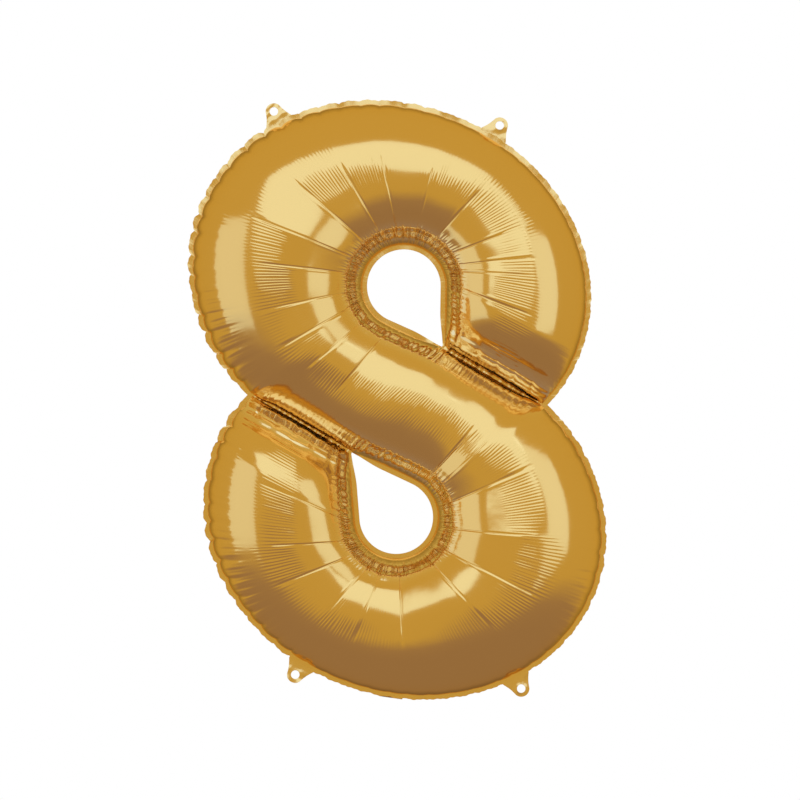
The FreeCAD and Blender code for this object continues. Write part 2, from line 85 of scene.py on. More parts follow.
# Height of the outline's scallops in millimetres, by angle round a lobe in degrees.
SCALLOPS = {
    "upper": ((-23, 0.7), (60, 0.9), (85, 1.3), (120, 2.8), (136, 5.4), (225, 5.8), (244, 4.0)),
    "lower": (
        *((-23, 3.8), (-5, 5.6), (50, 5.2), (70, 2.8), (95, 1.2)),
        *((150, 1.4), (195, 2.4), (230, 2.2), (244, 1.4)),
    ),
}
# Ridges and grooves of the ring round an eye: height, distance from its seam, breadth.
RING = ((0.9, 0.009, 0.0042), (-1.1, 0.0165, 0.0035), (0.8, 0.0235, 0.0045), (-0.5, 0.031, 0.004))
# Knots of the tube's rails: round a lobe, where the last place is the waist, and
# then along the diagonal. An arm runs over the first two places.
LOBE_KNOTS = 105
LOBE_PLACES = 26
ARM_PLACES = 2
WELD_SHARES = (0.08, 0.27, 0.49, 0.76)
DIAGONAL_KNOTS = 4 + len(WELD_SHARES)
# Wrinkles in metres: a flat run beside each seam, pitches along the tube, heights.
FLAT_RUN = 0.006
ROUGH_PITCH, ROUGH_HEIGHT = 0.0110, 0.00042
TUCK_PITCH, TUCK_HEIGHT = 0.0088, 0.00006
ROLL_LENGTH, ROLL_PITCH, TRENCH_DEPTH = 0.026, 0.029, 0.0011
SWELL_HEIGHT, WELD_LEAN = 0.00055, 0.0023
PLEAT_PITCH, FOLD_PITCH = 0.0038, 0.0074
# Breadth of a panel in the foil's own UV map, which is in metres like its length.
PANEL_BREADTH = 0.24
# Thicknesses of the loose pieces in metres.
TAB_THICKNESS, TAIL_THICKNESS = 0.0005, 0.0003
# Points across a seam.
STRIP_ROWS = 7
# Seeds of the random draws.
CUSP_SEEDS = {"upper": 11, "lower": 23}
PUCKER_SEEDS = {"upper": 31, "lower": 37}
PANEL_SEEDS = {"front_panel": 5, "back_panel": 9}
TAB_SEED, TAIL_SEED = 50, 71
# Width of the camera's sensor in millimetres.
SENSOR_WIDTH = 36.0
# Warm room from below to above, as shares of the way up and colours.
ROOM = (
    (0.14, (0.34, 0.245, 0.19, 1)),
    (0.23, (0.36, 0.260, 0.19, 1)),
    (0.34, (0.59, 0.450, 0.15, 1)),
    (1.0, (0.62, 0.470, 0.15, 1)),
)


# ------------------------------------------------------------------ properties
def length_prop(name, text, default):
    """A length in metres."""
    return bpy.props.FloatProperty(name=name, description=text, default=default, unit="LENGTH")


def angle_prop(name, text, degrees):
    """An angle, kept in radians."""
    default = math.radians(degrees)
    return bpy.props.FloatProperty(name=name, description=text, default=default, subtype="ANGLE")


def number_prop(name, text, default, **limits):
    """A plain number."""
    return bpy.props.FloatProperty(name=name, description=text, default=default, **limits)


def count_prop(name, text, default, least):
    """A count of mesh steps."""
    return bpy.props.IntProperty(name=name, description=text, default=default, min=least)


def spot_prop(name, text, *default):
    """A point in metres."""
    return bpy.props.FloatVectorProperty(
        name=name, description=text, size=len(default), default=default, unit="LENGTH"
    )


def colour_prop(name, text, *default):
    """A colour."""
    return bpy.props.FloatVectorProperty(
        name=name, description=text, size=3, default=default, subtype="COLOR"
    )


class DigitSizes(bpy.types.PropertyGroup):
    """Sizes of the digit and of its inflated tube."""

    lobe_half_length: length_prop("Lobe half length", "Half the long axis of a lobe", 0.2856)
    lobe_half_breadth: length_prop("Lobe half breadth", "Half the short axis of a lobe", 0.2473)
    lobe_tilt: angle_prop("Lobe tilt", "Fall of the long axis to the right", 20)
    lobe_shift: length_prop("Lobe shift", "Upper lobe left of the middle", 0.0104)
    lobe_rise: length_prop("Lobe rise", "Upper lobe above the middle", 0.1673)
    eye_radius: length_prop("Eye radius", "Round part of an open eye", 0.0515)
    upper_eye: spot_prop("Upper eye", "Upper eye from the middle", 0.0089, 0.1592)
    lower_eye: spot_prop("Lower eye", "Lower eye, half turned", 0.0018, 0.1640)
    weld_angle: angle_prop("Weld angle", "Fall of the welds to the right", 30.4)
    weld_width: length_prop("Weld width", "Width of a weld", 0.006)
    upper_weld: length_prop("Upper weld", "Length of the upper weld", 0.158)
    lower_weld: length_prop("Lower weld", "Length of the lower weld", 0.156)
    seam_width: length_prop("Seam width", "Flat margin round the tube", 0.0065)
    seam_thickness: length_prop("Seam thickness", "Two fused foils", 0.0006)
    seam_bite: length_prop("Seam bite", "Overlap of a seam under the foil", 0.0012)
    roundness: number_prop("Tube roundness", "Depth of the tube over its width", 0.82)
    arm_end: length_prop("Arm end", "Run over which an arm swells from its weld", 0.075)
    notch_lag: angle_prop("Notch lag", "Turn round an eye to its tangent", 40)
    columns: count_prop("Columns", "Steps of a panel along the tube", 1290, 64)
    rows: count_prop("Rows", "Steps of a panel across the tube", 74, 16)


class FoilFinish(bpy.types.PropertyGroup):
    """Colours and wrinkles of the foil."""

    colour: colour_prop("Foil colour", "Tint of the metal", 0.90, 0.60, 0.22)
    # Paler tint mixed into crinkled folds: a painted highlight that stands in for the bright sparkle of
    # light on the crinkles.
    fold_highlight_colour: colour_prop("Fold highlight colour", "Painted highlight tint in crinkled folds", 0.98, 0.86, 0.58)
    film_colour: colour_prop("Film colour", "Valve film", 0.90, 0.90, 0.86)
    roughness: number_prop("Roughness", "Gloss of the smooth foil", 0.13, min=0, max=1)
    crease_depth: length_prop("Crease depth", "Depth of the radial creases", 0.0008)
    facet_tilt: length_prop("Facet tilt", "Unevenness of the facets' corners", 0.0032)
    pleat_height: length_prop("Pleat height", "Height of the fine pleats", 0.00014)
    ring_height: length_prop("Ring height", "Height of the crinkled ring by an eye", 0.0012)
    roll_height: length_prop("Roll height", "Height of the puffed roll by a weld", 0.0034)


class StudioSizes(bpy.types.PropertyGroup):
    """Camera, floor and lights."""

    lens: number_prop("Lens", "Focal length in millimetres", 120.0)
    view_width: length_prop("View width", "Width seen at the balloon", 1.12)
    view_middle: spot_prop("View middle", "Point in the middle of the view", 0.0035, 0, 0.4193)
    floor_drop: length_prop("Floor drop", "Floor below the balloon", 0.75)
    floor_colour: colour_prop("Floor colour", "Pale floor", 0.90, 0.86, 0.80)
    key_light: number_prop("Key light", "Brightness of the front light", 1.13)
    side_light: number_prop("Side lights", "Brightness of the side lights", 0.90)
    light_colour: colour_prop("Light colour", "Colour of the soft lights", 0.31, 0.57, 1.0)


# --------------------------------------------------------------- digit geometry
def turned(points):
    """The same points after half a turn about Y."""
    return -points


def share_of(first, second, share):
    """Points part of the way from first to second."""
    return first + (second - first) * np.asarray(share)[..., None]


class Digit:
    """Rails of the digit in the plane of its seams, from its sizes, as X and Z from
    the middle. Every half is in the upper half's frame."""

    def __init__(self, sizes):
        self.sizes = sizes
        self.tilt = (math.cos(sizes.lobe_tilt), math.sin(sizes.lobe_tilt))
        self.fall = (math.cos(sizes.weld_angle), math.sin(sizes.weld_angle))
        self.rail_eye = sizes.eye_radius + sizes.seam_width
        self.start, self.finish, self.waist = self.crossing(sizes.seam_width)
        self.weld_offset = self.waist[0] * self.fall[1] + self.waist[1] * self.fall[0]
        self.height = sizes.lobe_rise + math.hypot(
            sizes.lobe_half_length * self.tilt[1], sizes.lobe_half_breadth * self.tilt[0]
        )
        self.eyes = {"upper": np.array(sizes.upper_eye), "lower": np.array(sizes.lower_eye)}
        lengths = {"upper": sizes.upper_weld, "lower": sizes.lower_weld}
        along = np.array((self.fall[0], -self.fall[1]))
        self.corners = {h: self.waist - lengths[h] * along for h in HALVES}
        self.first, self.last = {}, {}
        for half in HALVES:
            x, z = self.corners[half] - self.eyes[half]
            tangent = math.acos(self.rail_eye / math.hypot(x, z))
            self.first[half] = math.atan2(z, x) + tangent
            self.last[half] = 2 * math.pi + math.atan2(z, x) - tangent
        self.cusps = {h: self.cusp_places(h) for h in HALVES}

    def crossing(self, margin):
        """Start and finish angle of a lobe's rail or outline, and the right waist."""
        a = self.sizes.lobe_half_length - margin
        b = self.sizes.lobe_half_breadth - margin
        shift, rise = self.sizes.lobe_shift, self.sizes.lobe_rise
        u0 = -shift * self.tilt[0] - rise * self.tilt[1]
        v0 = -shift * self.tilt[1] + rise * self.tilt[0]
        u, v = v0 / b**2, -u0 / a**2
        scale = math.sqrt((1 - (u0 / a) ** 2 - (v0 / b) ** 2) / ((u / a) ** 2 + (v / b) ** 2))
        u, v = u * scale, v * scale
        waist = np.array((u * self.tilt[0] + v * self.tilt[1], -u * self.tilt[1] + v * self.tilt[0]))
        start = math.atan2((v - v0) / b, (u - u0) / a)
        finish = 2 * math.pi + math.atan2((-v - v0) / b, (-u - u0) / a)
        return start, finish, waist

    def lobe(self, angle, margin):
        """Points of a lobe's ellipse, margin inside the outline."""
        along = (self.sizes.lobe_half_length - margin) * np.cos(angle)
        across = (self.sizes.lobe_half_breadth - margin) * np.sin(angle)
        c, s = self.tilt
        x = -self.sizes.lobe_shift + along * c + across * s
        z = self.sizes.lobe_rise - along * s + across * c
        return np.stack((x, z), -1)

    def outward(self, angle):
        """Unit normals of a lobe's outline."""
        along = np.cos(angle) / self.sizes.lobe_half_length
        across = np.sin(angle) / self.sizes.lobe_half_breadth
        c, s = self.tilt
        normal = np.stack((along * c + across * s, -along * s + across * c), -1)
        return normal / np.linalg.norm(normal, axis=-1, keepdims=True)

    def eye(self, half, angle):
        """Points of an eye's round rail."""
        around = np.stack((np.cos(angle), np.sin(angle)), -1)
        return self.eyes[half] + self.rail_eye * around

    def weld(self, half, share, clear):
        """Points beside a weld, from the eye's corner at 0 to the waist at 1."""
        across = np.array((self.fall[1], self.fall[0]))
        return share_of(self.corners[half], self.waist, share) + clear * across

    def cusp_places(self, half):
        """Angles round a lobe where its seam is pinched between two scallops."""
        rng = np.random.default_rng(CUSP_SEEDS[half])
        angle = np.linspace(self.start, self.finish, 1200)
        run = np.concatenate(((0,), np.cumsum(np.linalg.norm(np.diff(self.lobe(angle, 0), axis=0), axis=1))))
        steps = np.cumsum(rng.uniform(0.024, 0.036, 80)) - 0.01
        return np.interp(steps[steps < run[-1]], run, angle)

    def scallop(self, half, angle):
        """How far the seam swings outwards at each angle round a lobe."""
        cusps = np.concatenate(((self.start - 0.1,), self.cusps[half], (self.finish + 0.1,)))
        number = np.clip(np.searchsorted(cusps, angle) - 1, 0, len(cusps) - 2)
        share = np.clip((angle - cusps[number]) / (cusps[number + 1] - cusps[number]), 0, 1)
        places, heights = zip(*SCALLOPS[half])
        size = np.interp(np.degrees(angle), places, heights) * 0.001
        lively = 0.75 + 0.25 * np.sin(7.3 * number)
        return size * lively * ((4 * share * (1 - share)) ** 0.55 - 0.62)


def arm_and_lobe(digit, half, place):
    """Rails round one eye, from its weld at place 0 to the waist at the last, with
    the angle round the eye and round the lobe."""
    sizes = digit.sizes
    first, last = digit.first[half], digit.last[half] - sizes.notch_lag
    inset = 0.06
    eased = inset + (LOBE_PLACES - 2 * inset) * place / LOBE_PLACES
    lobe_angle = digit.start + (digit.finish - digit.start) * eased / LOBE_PLACES
    outside = digit.lobe(lobe_angle, sizes.seam_width)
    past_arm = np.clip((place - ARM_PLACES) / (LOBE_PLACES - ARM_PLACES), 0, 1)
    round_eye = first + (last - first) * past_arm
    corner = digit.weld(half, 0.0, sizes.weld_width / 2)
    on_arm = share_of(corner, digit.eye(half, first), np.clip(place / ARM_PLACES, 0, 1))
    inside = np.where((place < ARM_PLACES)[:, None], on_arm, digit.eye(half, round_eye))
    return inside, outside, round_eye, lobe_angle


def diagonal_side(digit, half):
    """The diagonal's edge beside one eye and its weld."""
    last = digit.last[half]
    clear = -digit.sizes.weld_width / 2
    tangent, corner = digit.eye(half, last), digit.weld(half, 0.0, clear)
    side = [digit.eye(half, last - digit.sizes.notch_lag / 2), tangent, (tangent + corner) / 2, corner]
    return np.array(side + [digit.weld(half, share, clear) for share in WELD_SHARES])


def smooth_through(knots, values, at):
    """A cubic that passes through the values at the knots."""
    slope = np.gradient(values, knots, axis=0)
    number = np.clip(np.searchsorted(knots, at) - 1, 0, len(knots) - 2)
    gap = (knots[number + 1] - knots[number])[:, None]
    f = ((at - knots[number]) / gap[:, 0])[:, None]
    return (
        (1 + 2 * f) * (1 - f) ** 2 * values[number]
        + f * (1 - f) ** 2 * gap * slope[number]
        + f * f * (3 - 2 * f) * values[number + 1]
        + f * f * (f - 1) * gap * slope[number + 1]
    )


class Tube:
    """The S shaped tube: rails, depth and places round the eyes at each column."""

    def __init__(self, digit, columns):
        sizes = digit.sizes
        place = np.linspace(0, LOBE_PLACES, LOBE_KNOTS)
        upper = arm_and_lobe(digit, "upper", place)
        lower = arm_and_lobe(digit, "lower", place[::-1])
        diagonal = (diagonal_side(digit, "upper"), turned(diagonal_side(digit, "lower")[::-1]))
        left = np.concatenate((upper[0], diagonal[0], turned(lower[1])))
        right = np.concatenate((upper[1], diagonal[1], turned(lower[0])))
        middle = (left + right) / 2
        knots = np.concatenate(((0,), np.cumsum(np.linalg.norm(np.diff(middle, axis=0), axis=1))))
        upper_run, lower_run = knots[:-LOBE_KNOTS], knots[LOBE_KNOTS:][::-1]

        def at(*places):
            """Run at knots counted from the diagonal's first."""
            return [knots[LOBE_KNOTS + place] for place in places]

        along = np.linspace(0, knots[-1], columns)
        self.creases = {}
        for half, turns, run in (("upper", upper[2], upper_run), ("lower", lower[2][::-1], lower_run)):
            past = digit.last[half] - math.radians(20) * (1 - np.arange(DIAGONAL_KNOTS))
            self.creases[half] = np.interp(np.radians(CREASES[half]), np.concatenate((turns, past)), run)
        for crease in np.concatenate(list(self.creases.values())):
            along[np.argmin(abs(along - crease))] = crease
        self.along = along
        self.left = smooth_through(knots, left, along)
        self.right = smooth_through(knots, right, along)
        self.lobe_angle = {
            "upper": np.interp(along, knots[:LOBE_KNOTS], upper[3], right=np.nan),
            "lower": np.interp(along, knots[-LOBE_KNOTS:], lower[3], left=np.nan),
        }
        self.half_width = np.linalg.norm(self.right - self.left, axis=1) / 2
        self.depth = sizes.roundness * self.half_width
        middle = (self.left + self.right) / 2
        places = np.concatenate((place, np.full(DIAGONAL_KNOTS, LOBE_PLACES), place[::-1]))
        lobe_place = np.interp(along, knots, places)
        self.from_weld = np.full(columns, 1.0)
        self.arm = {}
        for half, sign, side in (("upper", 1, along < at(5)[0]), ("lower", -1, along > at(2)[0])):
            clear = sign * (middle[:, 0] * digit.fall[1] + middle[:, 1] * digit.fall[0])
            clear = clear - digit.weld_offset - sizes.weld_width / 2
            arm = side & (lobe_place < ARM_PLACES + 1)
            share = np.clip(clear / sizes.arm_end, 0.0, 1)
            swell = np.sqrt(1 - (1 - share) ** 2)
            self.depth = np.where(arm, np.maximum(sizes.seam_thickness, self.depth * swell), self.depth)
            self.from_weld = np.where(arm, clear, self.from_weld)
            self.arm[half] = arm.astype(float)
        self.welded = {
            "upper": np.interp(along, at(2, 3, 7, 9), (0, 1, 1, 0)),
            "lower": np.interp(along, at(-2, 0, 4, 5), (0, 1, 1, 0)),
        }
        self.outer = {
            "upper": 1 - np.interp(along, at(-1, 4), (0, 1)),
            "lower": np.interp(along, at(3, 8), (0, 1)),
        }
        self.inner = {
            "upper": np.interp(along, at(3, 6), (1, 0)),
            "lower": np.interp(along, at(1, 4), (0, 1)),
        }


def soft_waves(rng, along, across, count, longest, shortest):
    """Gentle unevenness: a sum of waves of random direction and length."""
    total = np.zeros(np.broadcast(along, across).shape)
    for _ in range(count):
        length = math.exp(rng.uniform(math.log(shortest), math.log(longest)))
        turn, phase = rng.uniform(0, math.pi), rng.uniform(0, 2 * math.pi)
        total += np.sin(2 * math.pi * (along * math.cos(turn) + across * math.sin(turn)) / length + phase)
    return total / math.sqrt(count)


def smooth_step(low, high, value):
    """0 below low, 1 above high, and smooth between."""
    share = np.clip((value - low) / (high - low), 0, 1)
    return share * share * (3 - 2 * share)


def bell(value, width):
    """1 at nought, falling away over the width."""
    return np.exp(-((value / width) ** 2))


def grid_normals(points, side):
    """Outward unit normals of a grid of points."""
    along = np.gradient(points, axis=0)
    across = np.gradient(points, axis=1)
    normal = np.cross(along, across)
    normal /= np.maximum(np.linalg.norm(normal, axis=2, keepdims=True), 1e-12)
    middle = normal[:, points.shape[1] // 2, 1].mean()
    return normal if middle * side > 0 else -normal


def panel_points(digit, tube, finish, rows, side, seed):
    """Grid of a wrinkled foil panel, side -1 for the front, with the strength of its
    fine pleats and of its crinkled folds at each point; the crinkle strength also sets the painted highlight
    tint in the folds."""
    rng = np.random.default_rng(seed)
    around = np.linspace(0, math.pi, rows)
    across = -np.cos(around)
    middle, half = (tube.left + tube.right) / 2, (tube.right - tube.left) / 2
    flat = middle[:, None, :] + across[None, :, None] * half[:, None, :]
    rise = side * tube.depth[:, None] * np.sin(around)[None, :]
    points = np.stack((flat[..., 0], rise, flat[..., 1]), -1)
    along = tube.along[:, None]
    width = tube.half_width[:, None]
    pleats = np.zeros(points.shape[:2])
    # Crinkle strength drives the bump of the crinkles and also a painted highlight: a paler tint mixed into
    # the foil's colour.
    crinkles_and_highlight = np.zeros(points.shape[:2])
    push = np.zeros(points.shape[:2])
    spread = across * width
    for name, sign in HALVES.items():
        gap = (1 + sign * across) * width
        clear = smooth_step(0, FLAT_RUN, gap)
        band = gap / (2 * width)
        here = tube.inner[name][:, None]
        spots = np.sort(tube.creases[name])
        number = np.clip(np.searchsorted(spots, tube.along, side="right") - 1, 0, len(spots) - 2)
        share = np.clip((tube.along - spots[number]) / (spots[number + 1] - spots[number]), 0, 1)
        at_spot = np.array([points[np.argmin(abs(tube.along - spot))] for spot in spots])
        tilts = rng.uniform(-finish.facet_tilt, finish.facet_tilt, len(spots))
        at_spot[..., 1] += side * tilts[:, None] * np.sin(around)
        chord = share_of(at_spot[number], at_spot[number + 1], share[:, None])
        inside = (tube.along >= spots[0]) & (tube.along <= spots[-1])
        reach = 0.50 + 0.05 * np.sin(5.1 * number + 5)[:, None]
        facet = smooth_step(0.011, 0.026, gap) * (1 - smooth_step(reach - 0.05, reach + 0.13, band))
        facet = facet * inside[:, None] * here
        points = points + facet[..., None] * (chord - points)
        for order, spot in enumerate(spots):
            length = 0.60 + 0.07 * math.sin(3.7 * order)
            lane = smooth_step(0.004, 0.016, gap) * (1 - smooth_step(length - 0.06, length + 0.05, band))
            flare = 0.0011 + 0.0009 * smooth_step(0.40, 0.65, band)
            strength = 0.85 + 0.30 * math.sin(2.1 * order + 1)
            push -= finish.crease_depth * strength * lane * here * bell(along - spot, flare)
            push += 0.25 * finish.crease_depth * lane * here * bell(along - spot - 0.0036, 0.0022)
        lively = 0.8 + 0.35 * soft_waves(rng, along, 0 * gap, 6, 0.045, 0.016)
        ring = sum(height * bell(gap - place, breadth) for height, place, breadth in RING)
        push += finish.ring_height * ring * lively * here * clear
        bend = 1.6 * soft_waves(rng, along, gap, 5, 0.09, 0.03)
        rough = np.sin(2 * math.pi * along / ROUGH_PITCH + bend)
        push += ROUGH_HEIGHT * bell(gap - 0.014, 0.011) * clear * here * rough
        # The crinkled ring by the eye; its strength also paints the paler highlight tint there.
        crinkles_and_highlight = np.maximum(crinkles_and_highlight, bell(gap - 0.015, 0.0105) * here)
        zone = smooth_step(reach - 0.12, reach, band) * (1 - smooth_step(reach + 0.10, reach + 0.24, band))
        patch = 0.65 + 0.35 * np.sin(4.3 * number + 2)[:, None]
        pleats = np.maximum(pleats, zone * here * np.where(inside[:, None], patch, 0.7))
    for name, sign in HALVES.items():
        gap = (1 - sign * across) * width
        angle = np.nan_to_num(tube.lobe_angle[name], nan=0.0)
        here = tube.outer[name] * ~np.isnan(tube.lobe_angle[name])
        swing = digit.scallop(name, angle) * here
        out = digit.outward(angle) * sign
        shove = (swing[:, None] * np.exp(-gap / 0.015))[..., None]
        points = points + shove * np.stack((out[:, 0], 0 * out[:, 0], out[:, 1]), -1)[:, None, :]
        places, heights = zip(*SCALLOPS[name])
        size = np.interp(np.degrees(angle), places, heights) * here
        bend = 1.5 * soft_waves(rng, along, 0 * gap, 4, 0.1, 0.03)
        tucks = np.sin(2 * math.pi * along / TUCK_PITCH + bend) * bell(gap - 0.016, 0.013)
        push += TUCK_HEIGHT * size[:, None] * tucks * smooth_step(0, FLAT_RUN, gap)
        pleats = np.maximum(pleats, 0.10 * size[:, None] * bell(gap - 0.018, 0.016))
    for name, sign in HALVES.items():
        towards = sign * np.array((digit.fall[1], 0, digit.fall[0]))
        gap = (1 + sign * across) * width
        beside = tube.welded[name][:, None] * np.exp(-((gap / 0.020) ** 2))
        ended = tube.arm[name][:, None] * np.exp(-((tube.from_weld[:, None] / 0.018) ** 2))
        lean = WELD_LEAN * smooth_step(0.001, 0.009, abs(points[..., 1])) * (beside - ended)
        points = points + lean[..., None] * towards
    roll = np.clip(tube.from_weld, -0.01, 0.2)[:, None]
    lump = np.sin(math.pi * np.clip(roll / ROLL_LENGTH, 0, 1))
    cells = 1 - 0.8 * bell(np.sin(math.pi * (spread + 0.2 * roll) / ROLL_PITCH), 0.22)
    puff = cells * np.sin(around) ** 0.5
    push += finish.roll_height * lump * puff
    push -= TRENCH_DEPTH * bell(roll - 0.030, 0.006) * puff
    pleats = np.maximum(pleats, 0.5 * bell(roll - 0.012, 0.014))
    crinkles_and_highlight = np.maximum(crinkles_and_highlight, 0.8 * bell(roll - 0.008, 0.016))
    for name, sign in HALVES.items():
        gap = (1 + sign * across) * width
        crinkles_and_highlight = np.maximum(crinkles_and_highlight, 0.8 * tube.welded[name][:, None] * bell(gap - 0.004, 0.016))
    push += SWELL_HEIGHT * soft_waves(rng, along, spread, 9, 0.30, 0.09) * np.sin(around)
    normal = grid_normals(points, side)
    edge = np.minimum(1 + across, 1 - across) * width
    points = points + normal * (push * smooth_step(0, 0.004, edge))[..., None]
    points[..., 2] += digit.height
    return points, pleats, crinkles_and_highlight


# --------------------------------------------------------------- making meshes
def grid_faces(columns, rows, flip):
    """Quads of a grid whose points run row by row within each column."""
    start = (np.arange(columns - 1)[:, None] * rows + np.arange(rows - 1)[None, :]).ravel()
    quads = np.stack((start, start + 1, start + rows + 1, start + rows), -1)
    return quads[:, ::-1] if flip else quads


def new_piece(name, points, faces, flow, strengths):
    """A smooth shaded mesh object at the origin, with the foil's own UV map and the
    strength of its pleats and crinkles, where the crinkle strength also sets the painted highlight tint."""
    mesh = bpy.data.meshes.new(name)
    mesh.from_pydata(np.asarray(points).tolist(), [], np.asarray(faces).tolist())
    mesh.update()
    loops = np.zeros(len(mesh.loops), np.int32)
    mesh.loops.foreach_get("vertex_index", loops)
    layer = mesh.uv_layers.new(name="Foil")
    layer.uv.foreach_set("vector", np.asarray(flow, np.float32)[loops].ravel())
    for key, values in strengths.items():
        attribute = mesh.attributes.new(key, "FLOAT", "POINT")
        attribute.data.foreach_set("value", np.asarray(values, np.float32).ravel())
    mesh.shade_smooth()
    piece = bpy.data.objects.new(name, mesh)
    bpy.context.scene.collection.objects.link(piece)
    return piece


def select_only(piece):
    """Makes piece the one selected and active object."""
    for other in bpy.context.view_layer.objects:
        other.select_set(False)
    piece.select_set(True)
    bpy.context.view_layer.objects.active = piece


def thicken(piece, thickness):
    """Gives a sheet its thickness, half to each side."""
    select_only(piece)
    modifier = piece.modifiers.new("Thickness", "SOLIDIFY")
    modifier.thickness = thickness
    modifier.offset = 0
    modifier.use_even_offset = False
    bpy.ops.object.modifier_apply(modifier=modifier.name)
    bpy.ops.object.shade_smooth_by_angle(angle=math.radians(40))


def face_outwards(piece):
    """Turns every face of a closed piece outwards."""
    select_only(piece)
    bpy.ops.object.mode_set(mode="EDIT")
    bpy.ops.mesh.select_all(action="SELECT")
    bpy.ops.mesh.remove_doubles(threshold=0.00001)
    bpy.ops.mesh.normals_make_consistent(inside=False)
    bpy.ops.object.mode_set(mode="OBJECT")


def strip(name, digit, inner, outer, rise, closed):
    """A flat strip between two rails in the plane of the seams, waved by rise."""
    sizes = digit.sizes
    columns, rows = rise.shape
    share = np.linspace(0, 1, rows)
    flat = inner[:, None, :] + (outer - inner)[:, None, :] * share[None, :, None]
    points = np.stack((flat[..., 0], rise, flat[..., 1] + digit.height), -1)
    run = np.concatenate(((0,), np.cumsum(np.linalg.norm(np.diff(outer, axis=0), axis=1))))
    flow = np.stack(np.broadcast_arrays(run[:, None], sizes.seam_width * share), -1)
    faces = grid_faces(columns, rows, False)
    if closed:
        last = (columns - 1) * rows + np.arange(rows - 1)
        first = np.arange(rows - 1)
        faces = np.concatenate((faces, np.stack((last, last + 1, first + 1, first), -1)))
    # Slight crinkle strength, which also paints a faint highlight tint on the seam.
    strengths = {"crinkle": np.full(rise.size, 0.06), "pleat": np.full(rise.size, 0.10)}
    piece = new_piece(name, points.reshape(-1, 3), faces, flow.reshape(-1, 2), strengths)
    thicken(piece, sizes.seam_thickness)
    face_outwards(piece)
    return piece


# ------------------------------------------------------------------- materials
class Flow:
    """An output socket of a shader node, so that sums of sockets read as sums."""

    def __init__(self, tree, socket=None):
        self.tree, self.socket = tree, socket

    def node(self, kind, settings=None, inlets=None, outlet=0):
        """Adds a node, sets it, fills its sockets, and gives one of its outputs."""
        made = self.tree.nodes.new(kind)
        for key, value in (settings or {}).items():
            if key == "stops":
                while len(made.color_ramp.elements) < len(value):
                    made.color_ramp.elements.new(0.5)
                for element, (place, colour) in zip(made.color_ramp.elements, value):
                    element.position, element.color = place, colour
            else:
                setattr(made, key, value)
        for key, value in (inlets or {}).items():
            if isinstance(value, Flow):
                self.tree.links.new(value.socket, made.inputs[key])
            else:
                made.inputs[key].default_value = value
        return Flow(self.tree, made.outputs[outlet])

    def maths(self, operation, first, second=0.0):
        return self.node("ShaderNodeMath", {"operation": operation}, {0: first, 1: second})

    def __add__(self, other):
        return self.maths("ADD", self, other)

    def __radd__(self, other):
        return self.maths("ADD", other, self)

    def __sub__(self, other):
        return self.maths("SUBTRACT", self, other)

    def __rsub__(self, other):
        return self.maths("SUBTRACT", other, self)

    def __mul__(self, other):
        return self.maths("MULTIPLY", self, other)

    def __rmul__(self, other):
        return self.maths("MULTIPLY", other, self)

    def __abs__(self):
        return self.maths("ABSOLUTE", self)


def new_material(name):
    """An empty material and the flow that writes its nodes."""
    material = bpy.data.materials.new(name)
    material.use_nodes = True
    material.node_tree.nodes.clear()
    return material, Flow(material.node_tree)


def show(flow, shader, kind="ShaderNodeOutputMaterial"):
    """Ends the nodes of a material or a world with their output."""
    ending = flow.tree.nodes.new(kind)
    flow.tree.links.new(shader.socket, ending.inputs["Surface"])


def noise(flow, place, scale, detail, roughness=0.5):
    """Soft random values between 0 and 1."""
    inlets = {"Vector": place, "Scale": scale, "Detail": detail, "Roughness": roughness}
    return flow.node("ShaderNodeTexNoise", {}, inlets)


def streaks(flow, place, stretch, detail):
    """Soft random streaks, finer along the axes that stretch more."""
    spot = flow.node("ShaderNodeVectorMath", {"operation": "MULTIPLY"}, {0: place, 1: stretch})
    return noise(flow, spot, 1.0, detail)


